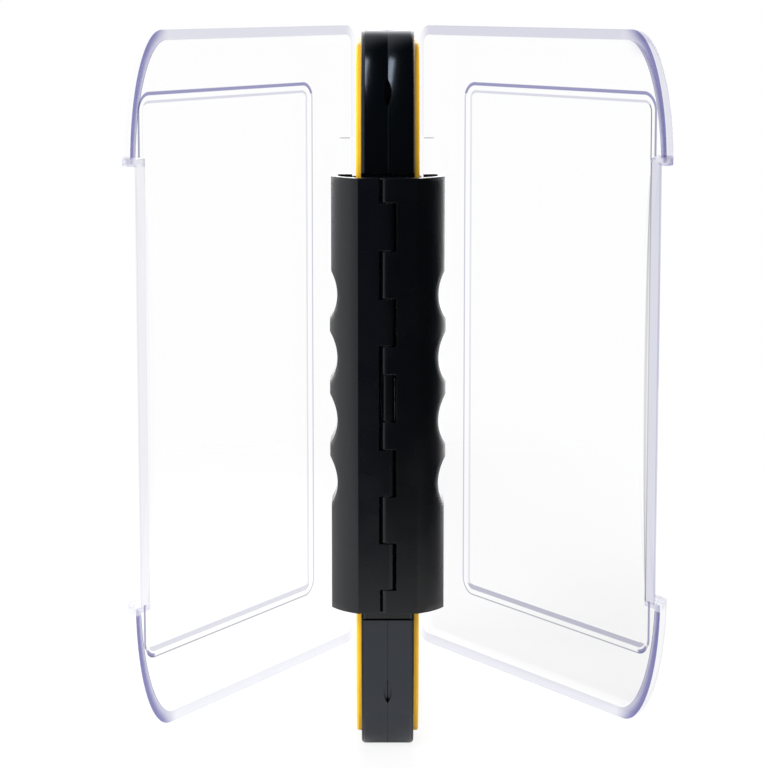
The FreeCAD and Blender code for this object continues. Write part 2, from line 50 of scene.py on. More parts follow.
# Raised panel, and its step seen by the distance outwards from the step's foot
PANEL_MIDDLE_REACH = 67.7
PANEL_MIDDLE_HEIGHT = 103.25
PANEL_HALF_REACH = 45.5
PANEL_HALF_HEIGHT = 83.05
PANEL_CORNER = 5.0
PANEL_STRAIGHT_HALF = 79.6
PANEL_END_BLEND = (0.0, 0.6)
STEP_FOOT = (3.4, 3.7)
STEP_TOP = (4.85, 5.1)
FOOT_LINE = (0.1, 0.75, 0.3)
FOOT_HAIRLINE = (0.1, 0.3, 0.25)
FOOT_DARK_LINE = (0.1, 0.5, 0.3)
FOOT_DARK_HAIRLINE = (0.1, 0.1, 0.2)
TOP_LINE = (-2.35, 0.5, 0.3)
TOP_DARK_LINE = (-2.35, 0.3, 0.25)
TOP_BROAD_LINE = (-2.2, 1.1, 0.4)
DOT_ACROSS = (-0.2, 0.9, 0.4)
DOT_HEIGHT = (21.5, 2.0, 1.0)
DOT_REACH = (110.5, 2.6, 1.2)
# Finger notch and the scoop before it
NOTCH_HALF = 64.8
NOTCH_BOW = 4.6
NOTCH_BAND = (118.1, 3.4, 0.5)
NOTCH_OUTER_LINE = (120.0, 0.3, 0.4)
NOTCH_INNER_LINE = (116.1, 0.3, 0.4)
NOTCH_END_FACE = (113.0, 115.5)
SCOOP_LINE = (115.9, 0.5, 0.3)
SCOOP_STARTS = (0.2, 0.4)
SCOOP_ENDS = (1.4, 1.9)
# Rim, its rounded corners and the wall round them
RIM_FACE = (0.15, 0.35)
RIM_STARTS = (3.0, 8.0)
RIM_DEEPENS = (103.0, 111.0)
RIM_ROUNDS = (100.0, 111.0)
CORNER_REACH = 105.0
CORNER_HALF_HEIGHT = 60.2
CORNER_WIDE = 15.5
CORNER_TALL = 39.0
WALL_STARTS = (0.3, 0.5)
WALL_ENDS = (5.4, 5.7)
WALL_REACH = (100.0, 110.0)
# Dark mark at the upper hinge, and the painted shade that greys the lower half
MARK_HEIGHT = (168.0, 0.2, 0.15)
MARK_REACH = (4.0, 5.0)
MARK_DEPTH = (1.5, 2.0)
LOWER_SHADE_HEIGHT = (30.0, 82.0)
LOWER_SHADE_REACH = (20.0, 110.0)
LOWER_SHADE_DEPTH = (2.5, 3.5)

# Places as shares of the notch's half length, and of the rim's corner curve
NOTCH_ENDS = (0.985, 1.005)
NOTCH_LENGTH = (0.0, 2.04, 0.01)
NOTCH_END = (1.0, 0.03, 0.012)
CURVE_RIM = (1.0, 1.11)
CURVE_WALL = (0.85, 0.95)
# Reach that the scoop loses for each millimetre of depth, and what its bow adds to that
SCOOP_SLOPE = 1.02
SCOOP_BOW_SLOPE = 1.04

# Strength of each tint of a lid: 0 leaves the wall clear, and 1 is full violet, or the full dark
# grey of painted shade. What ends in _toned is multiplied by the lid's free tone and added.
TINT = {
    # Violet lines along the foot and the top of the panel's step
    "foot_high": 0.84, "foot_free": 0.66, "foot_low": 0.2, "foot_hinge": 0.5, "foot_dot": 0.85,
    "top_high": 0.36, "top_hinge": 0.25, "top_low": 0.14, "top_low_toned": 0.34,
    # Painted shade in dark lines along the step and the notch, where their edges show the darker
    # room, and the dark mark at the hinge
    "shade_low": 0.55, "shade_free": 0.22, "shade_top_low": 0.02, "shade_top_low_toned": 0.16,
    "shade_notch_middle": 0.35, "shade_notch_ends": 0.8, "dark_mark": 0.5,
    # Rim, and the shares of it at its lower half, hinge, inner edge and beside the notch
    "rim_free": 0.95, "rim_pale": 0.26, "rim_pale_toned": 0.1, "rim_lower": 0.65,
    "rim_hinge": 0.1, "rim_inner": 0.5, "rim_beside_notch": 0.55,
    # Notch band with its outer line, and the blotches of its two end faces
    "notch_band": 0.35, "notch_outer": 0.5, "blotch_least": 0.25, "blotch_most": 0.75,
    "blotch_lower": 0.3, "blotch_upper": 0.8, "blotch": 0.3, "blotch_toned": 0.7,
    # Walls, and the painted shade of the lower half
    "wall_lower": 0.2, "lower_shade": 0.08, "lower_shade_hinge": 0.7, "silhouette": 0.12,
}


def colour(name, text, value):
    return FloatVectorProperty(name=name, description=text, default=value, subtype="COLOR",
                               size=3, min=0.0, max=1.0)


def share(name, text, value):
    return FloatProperty(name=name, description=text, default=value, subtype="FACTOR",
                         min=0.0, max=1.0)


def length(name, text, value):
    return FloatProperty(name=name, description=text, default=value, unit="LENGTH", precision=5)


def number(name, text, value):
    return FloatProperty(name=name, description=text, default=value, min=0.0)


class StageSettings(bpy.types.PropertyGroup):
    """Camera, floor and lamps."""
    camera_side: length("Camera side", "Camera's place to the right", -0.004754)
    camera_back: length("Camera back", "Camera's place along the depth", -0.6876)
    camera_height: length("Camera height", "Camera's height over the floor", 0.21577)
    camera_tip: FloatProperty(name="Camera tip", description="How far the camera looks down",
                              default=math.radians(6.906), subtype="ANGLE")
    focal_length: number("Focal length", "Lens length in millimetres", 108.12)
    frame_shift: FloatProperty(name="Frame shift", description="Upward shift of the view",
                               default=-0.1484)
    floor_front: length("Floor front", "How far the floor reaches to the front", 0.27)
    floor_back: length("Floor back", "How far the floor reaches to the back", 3.0)
    floor_left: length("Floor left", "How far the floor reaches to the left", 1.2)
    floor_right: length("Floor right", "How far the floor reaches to the right", 0.2)
    floor_colour: colour("Floor", "Colour of the floor", (0.93, 0.93, 0.935))
    dome_level: number("Dome level", "Light of the studio all round", 0.6)
    wrap_level: number("Wrap level", "Extra light that grazing surfaces mirror from behind", 3.5)
    key_power: number("Key power", "Power of the large soft lamp on the left, in watts", 10.0)
    rim_power: number("Rim power", "Power of the tall lamp on the right, in watts", 4.5)
    top_power: number("Top power", "Power of the lamp overhead, in watts", 1.2)


class ShellSettings(bpy.types.PropertyGroup):
    """Glossy black frame."""
    base: colour("Black", "Colour of the moulded frame", (0.0004, 0.0009, 0.0015))
    roughness: share("Roughness", "Roughness of the polished faces", 0.16)
    crown: length("Crown", "How far the middle of each half's edge stands out", 0.00038)
    half_width: length("Half width", "Width of each half's front edge", 0.0074)
    edge_round: length("Edge round", "Rounding of the sharp edges", 0.00018)
    gleam: colour("Gleam", "Tint of the reflections", (0.82, 0.88, 1.0))


class GripSettings(bpy.types.PropertyGroup):
    """Satin black latch halves and their bracket."""
    base: colour("Black", "Colour of the left latch half", (0.0012, 0.0019, 0.0036))
    # Painted shade: the right latch half gets a darker black because that side of the grip falls
    # into shade.
    right_painted_shade: colour("Shade", "Colour of the right latch half", (0.0002, 0.0005, 0.0012))
    roughness: share("Roughness", "Roughness of the satin faces", 0.27)
    grain: length("Grain", "Depth of the fine moulded grain", 0.000006)
    edge_round: length("Edge round", "Rounding of the sharp edges", 0.00025)
    side_round: length("Side round", "Rounding along the outer sides and grooves", 0.0026)


class SealSettings(bpy.types.PropertyGroup):
    """Yellow seals."""
    base: colour("Yellow", "Colour of the seals", (0.95, 0.53, 0.018))
    roughness: share("Roughness", "Roughness of the rubber", 0.5)


class FoamSettings(bpy.types.PropertyGroup):
    """Slit foam sheets."""
    base: colour("Foam", "Colour of the closed-cell foam", (0.74, 0.74, 0.71))
    cell: length("Cell", "Size of the foam's cells", 0.0004)
    roughness: share("Roughness", "Roughness of the foam", 0.85)


class LidSettings(bpy.types.PropertyGroup):
    """Clear lids with violet edges."""
    clear: colour("Clear", "Colour seen straight through a wall", (0.995, 0.995, 0.998))
    edge: colour("Edge", "Violet seen through the rim and the steps", (0.205, 0.2, 0.44))
    gloss: colour("Gloss", "Colour of the polished surface's reflections", (0.93, 0.93, 0.96))
    roughness: share("Roughness", "Roughness of the polished wall", 0.04)
    mirror: share("Mirror", "Strength of the reflections along turned-away walls", 0.07)
    # Painted shade: this dark grey darkens the step and notch lines, the lower half and the hinge
    # mark.
    painted_shade: colour("Ink", "Dark grey of the sharpest lines", (0.02, 0.022, 0.026))
    flank_right: share("Right flank", "Tint of the right lid's turned-away wall", 0.26)
    flank_left: share("Left flank", "Tint of the left lid's turned-away wall", 0.01)
    free_right: share("Right free side", "Strength of the tints along the right free side", 1.0)
    free_left: share("Left free side", "Strength of the tints along the left free side", 0.42)
    # The painted shade is ten times as strong on the right lid as on the left.
    inner_right: share("Right inner line", "Strength of the right lid's dark inner lines", 0.8)
    inner_left: share("Left inner line", "Strength of the left lid's dark inner lines", 0.08)


class PinSettings(bpy.types.PropertyGroup):
    """Steel pins."""
    base: colour("Steel", "Colour of the drawn steel", (0.55, 0.55, 0.57))
    roughness: share("Roughness", "Roughness of the drawn steel", 0.28)


SETTINGS = {
    "fly_box_stage": StageSettings, "fly_box_shell": ShellSettings, "fly_box_grip": GripSettings,
    "fly_box_seal": SealSettings, "fly_box_foam": FoamSettings, "fly_box_lid": LidSettings,
    "fly_box_pin": PinSettings,
}


class Field:
    """A number that changes over a surface. Arithmetic on it adds Math nodes."""

    def __init__(self, nodes, socket):
        self.nodes = nodes
        self.socket = socket

    def maths(self, operation, *others):
        inputs = dict(enumerate((self, *others)))
        return self.nodes.field("ShaderNodeMath", {"operation": operation}, inputs)

    def __add__(self, other):
        return self.maths("ADD", other)

    __radd__ = __add__

    def __mul__(self, other):
        return self.maths("MULTIPLY", other)

    __rmul__ = __mul__

    def __sub__(self, other):
        return self.maths("SUBTRACT", other)

    def __rsub__(self, other):
        return (self * -1.0) + other

    def __truediv__(self, other):
        return self.maths("DIVIDE", other)

    def __abs__(self):
        return self.maths("ABSOLUTE")

    def most(self, other):
        return self.maths("MAXIMUM", other)

    def least(self, other):
        return self.maths("MINIMUM", other)

    def mix(self, start, end):
        """Start where this is 0 and end where it is 1."""
        return (end - start) * self + start

    def band(self, low, high, start=0.0, end=1.0):
        """Changes smoothly from start at low to end at high."""
        return self.nodes.field("ShaderNodeMapRange",
                                {"interpolation_type": "SMOOTHSTEP", "clamp": True},
                                {0: self, 1: low, 2: high, 3: start, 4: end})

    def fall(self, low, high):
        """One up to low, and nothing from high on."""
        return self.band(low, high, 1.0, 0.0)

    def line(self, centre, width, soft):
        """One within half a width of centre, and nothing from soft beyond it."""
        return abs(self - centre).fall(width / 2, width / 2 + soft)


class Nodes:
    """A node tree under construction."""

    def __init__(self, tree):
        self.tree = tree
        self.tree.nodes.clear()

    def node(self, kind, settings, inputs):
        """Adds a node: its settings come first, then the values or links of its sockets. Gives
        its outputs."""
        made = self.tree.nodes.new(kind)
        for key, value in settings.items():
            setattr(made, key, value)
        for key, value in inputs.items():
            source = getattr(value, "socket", value)
            if isinstance(source, bpy.types.NodeSocket):
                self.tree.links.new(source, made.inputs[key])
            else:
                made.inputs[key].default_value = source
        return made.outputs

    def field(self, kind, settings, inputs, output=0):
        """Adds a node that gives a number."""
        return Field(self, self.node(kind, settings, inputs)[output])

    def split(self, vector):
        parts = self.node("ShaderNodeSeparateXYZ", {}, {0: vector})
        return [Field(self, part) for part in parts]


class Finish(Nodes):
    """A material under construction. Its patterns lie on Object coordinates."""

    def __init__(self, name):
        self.material = bpy.data.materials.new(name)
        self.material.use_nodes = True
        super().__init__(self.material.node_tree)
        self.place = self.node("ShaderNodeTexCoord", {}, {})["Object"]

    def axes(self):
        return self.split(self.place)

    def noise(self, size, detail=2.0, roughness=0.5, stretch=None):
        place = self.place
        if stretch is not None:
            place = self.node("ShaderNodeVectorMath", {"operation": "MULTIPLY"},
                              {0: place, 1: stretch})[0]
        return self.field("ShaderNodeTexNoise", {},
                          {"Vector": place, "Scale": 1.0 / size, "Detail": detail,
                           "Roughness": roughness})

    def blend(self, factor, first, second):
        """From the first colour to the second."""
        return self.node("ShaderNodeMix", {"data_type": "RGBA"},
                         {0: factor, 6: rgba(first), 7: rgba(second)})[2]

    def vector_blend(self, factor, first, second):
        return self.node("ShaderNodeMix", {"data_type": "VECTOR"},
                         {0: factor, 4: first, 5: second})[1]

    def bevel(self, radius):
        return self.node("ShaderNodeBevel", {"samples": 4}, {"Radius": radius})[0]

    def bump(self, height, distance, normal=None):
        inputs = {"Distance": distance, "Height": height}
        if normal is not None:
            inputs["Normal"] = normal
        return self.node("ShaderNodeBump", {}, inputs)[0]

    def principled(self, **inputs):
        """Adds the main shader. An underscore stands for the space in a socket's name."""
        names = {key.replace("_", " "): value for key, value in inputs.items()}
        return self.node("ShaderNodeBsdfPrincipled", {}, names)[0]

    def see_through(self, tint):
        return self.node("ShaderNodeBsdfTransparent", {}, {0: rgba(tint)})[0]

    def mix_shaders(self, factor, first, second):
        return self.node("ShaderNodeMixShader", {}, {0: factor, 1: first, 2: second})[0]

    def done(self, shader):
        self.node("ShaderNodeOutputMaterial", {}, {"Surface": shader})
        return self.material


def rgba(value):
    """A colour as a socket wants it. Links pass through."""
    return value if isinstance(value, bpy.types.NodeSocket) else (*value, 1.0)


def scaled(value, factor):
    """A colour made lighter or darker."""
    return [channel * factor for channel in value]


def wear(node_names, material):
    """Gives CAD nodes their finish."""
    for name in node_names:
        mesh = frame["nodes"][name].data
        mesh.materials.clear()
        mesh.materials.append(material)


def shell_material(settings, name, middle, hand):
    """Polished black moulding: a half is slightly crowned across its edge, duller along its
    outer side, and flat with a sharper gloss on its two end faces. Middle is the middle of its
    edge from left to right, and hand is -1 for the left half and 1 for the right one."""
    end_face, end_roughness = (0.1023, 0.10245), 0.02
    outer_side, outer_roughness, outer_ior = (0.78, 0.93), 0.35, 1.2
    dusty, wave_height, lighter = 0.05, 0.000012, 1.5
    finish = Finish(name)
    x, _, z = finish.axes()
    offset = (x - middle) / (settings.half_width / 2)
    upright = abs(z - CASE_MIDDLE * MILLIMETRE).fall(*end_face)
    crown = offset * offset * upright * -1.0
    wave = finish.noise(size=0.02)
    dust = finish.noise(size=0.0006, detail=3.0, roughness=0.6)
    flat = finish.node("ShaderNodeNewGeometry", {}, {})["Normal"]
    edges = finish.vector_blend(upright, flat, finish.bevel(settings.edge_round))
    normal = finish.bump(wave * upright, wave_height, finish.bump(crown, settings.crown, edges))
    roughness = dust.band(low=0.45, high=0.75, start=settings.roughness,
                          end=settings.roughness + dusty)
    roughness = upright.mix(end_roughness, roughness)
    base = finish.blend(wave, settings.base, scaled(settings.base, lighter))
    polished = finish.principled(Base_Color=base, Roughness=roughness, IOR=1.6, Normal=normal,
                                 Specular_Tint=rgba(settings.gleam))
    dull = finish.principled(Base_Color=base, Roughness=outer_roughness, IOR=outer_ior,
                             Normal=normal)
    outer = (offset * hand).band(*outer_side) * upright
    return finish.done(finish.mix_shaders(outer, polished, dull))


def grip_material(settings, name, middle):
    """Satin black moulding with a fine even grain and softly rounded outer sides. Right of its
    middle the black is darker, as painted shade.
    """
    outer_side, seam = (0.0095, 0.0125), (-0.003, 0.003)
    smoother, rougher = 0.03, 0.04
    grain_share, lighter = 0.4, 2.0
    finish = Finish(name)
    across = finish.axes()[0] - middle
    edges = finish.vector_blend(abs(across).band(*outer_side), finish.bevel(settings.edge_round),
                                finish.bevel(settings.side_round))
    grain = finish.noise(size=0.00035, roughness=0.6)
    flow = finish.noise(size=0.015)
    normal = finish.bump(grain, settings.grain, edges)
    roughness = flow.band(low=0.3, high=0.7, start=settings.roughness - smoother,
                          end=settings.roughness + rougher)
    # Painted shade: the black turns darker right of the middle, on the grip and on the bracket.
    base = finish.blend(across.band(*seam), settings.base, settings.right_painted_shade)
    base = finish.blend(grain * grain_share, base, scaled(settings.base, lighter))
    return finish.done(finish.principled(Base_Color=base, Roughness=roughness, IOR=1.5,
                                         Normal=normal))


def seal_material(settings):
    """Yellow rubber, slightly cloudy, with a fine grain."""
    darker, grain_height = 0.9, 0.00002
    finish = Finish("seal_rubber")
    grain = finish.noise(size=0.0004, detail=3.0, roughness=0.6)
    cloud = finish.noise(size=0.012).band(low=0.35, high=0.7)
    base = finish.blend(cloud, settings.base, scaled(settings.base, darker))
    return finish.done(finish.principled(Base_Color=base, Roughness=settings.roughness, IOR=1.45,
                                         Normal=finish.bump(grain, grain_height)))


def foam_material(settings):
    """Closed-cell foam with fine pores, their pits darkened as painted shade."""
    darker, pore_depth, uneven = 0.86, 0.00008, 0.06
    finish = Finish("slit_foam")
    pore = finish.field("ShaderNodeTexVoronoi", {},
                        {"Vector": finish.place, "Scale": 1.0 / settings.cell}, "Distance")
    flow = finish.noise(size=0.008, detail=3.0, roughness=0.6)
    # Painted shade: the colour darkens towards the middle of each pore, where the bump sinks.
    base = finish.blend(pore.band(low=0.1, high=0.6), scaled(settings.base, darker),
                        settings.base)
    roughness = flow.band(low=0.2, high=0.8, start=settings.roughness - uneven,
                          end=settings.roughness + uneven)
    return finish.done(finish.principled(Base_Color=base, Roughness=roughness,
                                         Normal=finish.bump(pore, pore_depth)))


def lid_places(finish, side):
    """Distances in a lid's own axes, in millimetres: from the hinge, out of the box and up."""
    joint = JOINTS["lid_%s_hinge" % side]
    open_angle = -math.radians(joint["range_deg"][0])
    hand = 1.0 if side == "right" else -1.0
    x, y, z = finish.axes()
    across = (x - joint["pos_m"][0]) * (hand / MILLIMETRE)
    back = (y - joint["pos_m"][1]) / MILLIMETRE
    reach = across * math.sin(open_angle) - back * math.cos(open_angle)
    depth = across * math.cos(open_angle) + back * math.sin(open_angle)
    return reach, depth, z / MILLIMETRE


def panel_distance(reach, height):
    """Distance outwards from the foot of the raised panel's step: negative on the panel."""
    wide = abs(reach - PANEL_MIDDLE_REACH) - (PANEL_HALF_REACH - PANEL_CORNER)
    tall = abs(height - PANEL_MIDDLE_HEIGHT) - (PANEL_HALF_HEIGHT - PANEL_CORNER)
    outside = wide.most(0.0).maths("POWER", 2.0) + tall.most(0.0).maths("POWER", 2.0)
    return outside.maths("SQRT") + wide.most(tall).least(0.0) - PANEL_CORNER


class LidMap:
    """Where a clear lid looks violet, and where painted shade and a dark mark darken it."""

    def __init__(self, finish, side, settings):
        self.finish = finish
        self.free_tone = getattr(settings, "free_" + side)
        self.inner_tone = getattr(settings, "inner_" + side)
        self.reach, self.depth, self.height = lid_places(finish, side)
        ahead = self.reach.band(*FREE_HALF)
        self.upper = self.height.band(*UPPER_HALF)
        self.along_notch = (self.height - CASE_MIDDLE) / NOTCH_HALF
        self.in_notch = abs(self.along_notch).fall(*NOTCH_ENDS) * ahead
        self.beside_notch = 1.0 - self.in_notch
        self.bow = (1.0 - self.along_notch * self.along_notch).most(0.0) * ahead
        self.step = panel_distance(self.reach + self.bow * NOTCH_BOW, self.height)
        self.step_face = self.depth.fall(*STEP_TOP) * self.depth.band(*STEP_FOOT)
        past_straight = abs(self.height - PANEL_MIDDLE_HEIGHT) - PANEL_STRAIGHT_HALF
        end = past_straight.band(*PANEL_END_BLEND)
        self.free_side = (1.0 - end) * ahead
        self.hinge_side = (1.0 - end) * (1.0 - ahead)
        self.high_end = end * self.upper
        self.low_end = end * (1.0 - self.upper)
        self.rim_face = self.depth.fall(*RIM_FACE)
        self.curve = self.corner_curve()

    def toned(self, name):
        """A strength that grows with the lid's free tone."""
        return TINT[name] + TINT[name + "_toned"] * self.free_tone

    def corner_curve(self):
        """One along the inner edge of the rim's corners and free side, and more beyond it."""
        wide = (self.reach - CORNER_REACH).most(0.0) / CORNER_WIDE
        tall = (abs(self.height - CASE_MIDDLE) - CORNER_HALF_HEIGHT).most(0.0) / CORNER_TALL
        return (wide * wide + tall * tall).maths("SQRT")

    def step_lines(self):
        """Violet lines along the foot and the top of the panel's step."""
        foot = self.step.line(*FOOT_LINE) * (self.high_end * TINT["foot_high"]
                                             + self.free_side * TINT["foot_free"])
        foot = foot.most(self.step.line(*FOOT_HAIRLINE) * (self.low_end * TINT["foot_low"]
                                                           + self.hinge_side * TINT["foot_hinge"]))
        dot = (self.step.line(*DOT_ACROSS) * self.height.line(*DOT_HEIGHT)
               * self.reach.line(*DOT_REACH))
        foot = foot.most(dot * TINT["foot_dot"]) * self.beside_notch
        top = self.step.line(*TOP_LINE) * (self.high_end * TINT["top_high"]
                                           + self.hinge_side * TINT["top_hinge"])
        top = top.most(self.step.line(*TOP_BROAD_LINE) * self.low_end * self.toned("top_low"))
        return foot.most(top) * self.step_face

    def rim(self):
        """Violet of the rim: pale at the hinge, strong at the free side and its corners."""
        pale = (self.toned("rim_pale") * self.reach.band(*RIM_STARTS, TINT["rim_hinge"], 1.0)
                * self.upper.mix(TINT["rim_lower"], 1.0))
        at_notch = self.along_notch.line(*NOTCH_LENGTH) * self.beside_notch
        across = self.curve.band(*CURVE_RIM, TINT["rim_inner"], 1.0)
        tone = (self.reach.band(*RIM_DEEPENS).mix(pale, TINT["rim_free"])
                * at_notch.mix(1.0, TINT["rim_beside_notch"])
                * self.reach.band(*RIM_ROUNDS).mix(1.0, across))
        strip = self.reach.line(*NOTCH_BAND) * TINT["notch_band"]
        strip = strip.most(self.reach.line(*NOTCH_OUTER_LINE) * TINT["notch_outer"])
        return self.rim_face * (tone * self.beside_notch + strip * self.in_notch * self.free_tone)

    def notch_blotches(self):
        """Blotchy violet of the two end faces of the notch."""
        ragged = self.finish.noise(size=0.0022, roughness=0.6).band(
            low=0.35, high=0.65, start=TINT["blotch_least"], end=TINT["blotch_most"])
        face = abs(self.along_notch).line(*NOTCH_END) * self.reach.band(*NOTCH_END_FACE)
        halves = self.upper.mix(TINT["blotch_lower"], TINT["blotch_upper"])
        return face * ragged * halves * self.toned("blotch")

    def step_shade(self):
        """Painted shade: dark lines along the panel's step."""
        free_side = self.free_side * self.beside_notch
        painted_shade = self.step.line(*FOOT_DARK_HAIRLINE) * self.low_end * TINT["shade_low"]
        painted_shade = painted_shade.most(self.step.line(*TOP_DARK_LINE) * free_side * self.upper * self.inner_tone)
        painted_shade = painted_shade.most(self.step.line(*FOOT_DARK_LINE) * free_side * TINT["shade_free"])
        painted_shade = painted_shade.most(self.step.line(*TOP_BROAD_LINE) * self.low_end * self.toned("shade_top_low"))
        return painted_shade * self.step_face

    def notch_shade(self):
        """Painted shade: dark lines along the scoop and the notch, stronger towards the notch's
        ends.
        """
        scoop_place = self.reach + self.depth * (self.bow * SCOOP_BOW_SLOPE + SCOOP_SLOPE)
        scoop = (scoop_place.line(*SCOOP_LINE) * self.depth.band(*SCOOP_STARTS)
                 * self.depth.fall(*SCOOP_ENDS))
        painted_shade = scoop.most(self.reach.line(*NOTCH_INNER_LINE) * self.rim_face) * self.in_notch
        to_ends = self.along_notch * self.along_notch
        return (painted_shade * to_ends.mix(TINT["shade_notch_middle"], TINT["shade_notch_ends"])
                * self.inner_tone)

    def hinge_mark(self):
        """Short dark line at the upper end of the upper hinge."""
        return (self.height.line(*MARK_HEIGHT) * self.reach.fall(*MARK_REACH)
                * self.depth.band(*MARK_DEPTH) * TINT["dark_mark"])

    def lower_shade(self):
        """Painted shade: faint grey of the lid's lower half, stronger towards its free side."""
        return (self.height.band(*LOWER_SHADE_HEIGHT, TINT["lower_shade"], 0.0)
                * self.reach.band(*LOWER_SHADE_REACH, TINT["lower_shade_hinge"], 1.0)
                * self.depth.band(*LOWER_SHADE_DEPTH) * self.inner_tone)

    def outer_wall(self):
        """The wall round the free side and its corners, fainter in the lower half."""
        return (self.depth.band(*WALL_STARTS) * self.depth.fall(*WALL_ENDS)
                * self.reach.band(*WALL_REACH) * self.curve.band(*CURVE_WALL)
                * self.upper.mix(TINT["wall_lower"], 1.0))


def lid_material(settings, side):
    """Clear lid: colourless straight through, violet along its rim, steps and flanks, and dark
    grey where shade is painted on it.
    """
    turned_away, silhouette = (0.02, 0.4), (0.75, 0.97)
    wave_height, rougher = 0.00002, 0.03
    mirror_power, least_mirror = 4.0, 0.004
    finish = Finish("clear_lid_" + side)
    lid = LidMap(finish, side, settings)
    facing = finish.field("ShaderNodeLayerWeight", {}, {"Blend": 0.5}, "Facing")
    flank = facing.band(*turned_away) * lid.outer_wall() * getattr(settings, "flank_" + side)
    flank = flank.most(facing.band(*silhouette) * (lid.free_tone * TINT["silhouette"]))
    violet = lid.step_lines().most(lid.rim()).most(lid.notch_blotches()).most(flank)
    # Painted shade: dark lines of the step and the notch, the dark mark at the hinge and the grey
    # of the lower half.
    dark = lid.step_shade().most(lid.notch_shade()).most(lid.hinge_mark()).most(lid.lower_shade())
    wall = finish.mix_shaders(violet, finish.see_through(settings.clear),
                              finish.see_through(settings.edge))
    wall = finish.mix_shaders(dark, wall, finish.see_through(settings.painted_shade))
    wave = finish.noise(size=0.03)
    roughness = wave.band(low=0.3, high=0.7, start=settings.roughness,
                          end=settings.roughness + rougher)
    gloss = finish.principled(Base_Color=rgba(settings.gloss), Metallic=1.0,
                              Roughness=roughness, Normal=finish.bump(wave, wave_height))
    mirror = facing.maths("POWER", mirror_power) * settings.mirror + least_mirror
    return finish.done(finish.mix_shaders(mirror, wall, gloss))


def pin_material(settings):
    """Drawn steel with fine lengthwise marks."""
    lengthwise = (1.0, 1.0, 0.04)
    darker, mark_depth = 0.85, 0.00002
    smoother, rougher = 0.06, 0.1
    finish = Finish("drawn_steel")
    marks = finish.noise(size=0.0004, detail=3.0, roughness=0.6, stretch=lengthwise)
    roughness = marks.band(low=0.2, high=0.8, start=settings.roughness - smoother,
                           end=settings.roughness + rougher)
    base = finish.blend(marks, scaled(settings.base, darker), settings.base)
    return finish.done(finish.principled(Base_Color=base, Roughness=roughness, Metallic=1.0,
                                         Normal=finish.bump(marks, mark_depth)))


def seam_place():
    """Where the two frame halves meet, from left to right."""
    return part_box("frame_left_half")[1].x


class ShellOperator(bpy.types.Operator):
    """Finish the two frame halves and the bracket between the grip and the frame"""
    bl_idname = "fly_box.shell"
    bl_label = "Finish frame and bracket"

    def execute(self, context):
        settings = context.scene.fly_box_shell
        seam = seam_place()
        for name, hand in (("frame_left_half", -1.0), ("frame_right_half", 1.0)):
            middle = seam + hand * settings.half_width / 2
            wear([name], shell_material(settings, "polished_" + name, middle, hand))
        # The bracket wears the grip's finish, with its painted shade right of the seam.
        wear(["latch_bracket"], grip_material(context.scene.fly_box_grip, "bracket_black", seam))
        return {"FINISHED"}


class GripOperator(bpy.types.Operator):
    """Finish the two latch halves of the grip"""
    bl_idname = "fly_box.grip"
    bl_label = "Finish grip"

    def execute(self, context):
        grip = grip_material(context.scene.fly_box_grip, "grip_black", seam_place())
        wear(["latch_left", "latch_right"], grip)
        return {"FINISHED"}


class SealOperator(bpy.types.Operator):
    """Finish the yellow seals"""
    bl_idname = "fly_box.seals"
    bl_label = "Finish seals"

    def execute(self, context):
        wear(["seal_left", "seal_right"], seal_material(context.scene.fly_box_seal))
        return {"FINISHED"}


class FoamOperator(bpy.types.Operator):
    """Finish the slit foam sheets"""
    bl_idname = "fly_box.foam"
    bl_label = "Finish foam"

    def execute(self, context):
        wear(["foam_left", "foam_right"], foam_material(context.scene.fly_box_foam))
        return {"FINISHED"}


class LidOperator(bpy.types.Operator):
    """Finish the clear lids"""
    bl_idname = "fly_box.lids"
    bl_label = "Finish lids"

    def execute(self, context):
        for side in ("left", "right"):
            wear(["lid_" + side], lid_material(context.scene.fly_box_lid, side))
        return {"FINISHED"}


class PinOperator(bpy.types.Operator):
    """Finish the hinge pins and the grip's pin"""
    bl_idname = "fly_box.pins"
    bl_label = "Finish pins"

    def execute(self, context):
        pins = [name for name in frame["nodes"] if "pin" in name]
        wear(pins, pin_material(context.scene.fly_box_pin))
        return {"FINISHED"}


def floor_material(settings):
    """Pale floor: seen as white, with the object's soft shadow kept on it. Reflections show it
    dark close to the frame."""
    darker, contact, contact_tone = 0.985, (0.0, 0.007), 0.1
    shadow_reach, shadow_tone = (0.12, 0.4), 0.86
    finish = Finish("pale_floor")
    tone = finish.blend(finish.noise(size=0.4), settings.floor_colour,
                        scaled(settings.floor_colour, darker))
    lit = finish.principled(Base_Color=tone, Roughness=0.35, IOR=1.4)
    glow = finish.node("ShaderNodeEmission", {}, {"Color": WHITE, "Strength": 1.0})[0]
    path = finish.node("ShaderNodeLightPath", {}, {})
    x, y, _ = finish.axes()
    low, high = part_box("frame_left_half")[0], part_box("frame_right_half")[1]
    beside = abs(x - (low.x + high.x) / 2) - (high.x - low.x) / 2
    before = abs(y - (low.y + high.y) / 2) - (high.y - low.y) / 2
    clear = beside.most(before).band(*contact, contact_tone, 1.0)
    mirrored = clear * path["Is Glossy Ray"]
    seen = mirrored.most(path["Is Camera Ray"]).most(path["Is Transmission Ray"])
    far = (x * x + y * y).maths("SQRT").band(*shadow_reach, shadow_tone, 1.0)
    return finish.done(finish.mix_shaders(seen * far, lit, glow))


def make_floor(settings):
    bpy.ops.mesh.primitive_plane_add(size=1.0)
    floor = bpy.context.object
    floor.name = "floor"
    for vertex in floor.data.vertices:
        vertex.co.x = -settings.floor_left if vertex.co.x < 0 else settings.floor_right
        vertex.co.y = -settings.floor_front if vertex.co.y < 0 else settings.floor_back
    floor.data.materials.append(floor_material(settings))


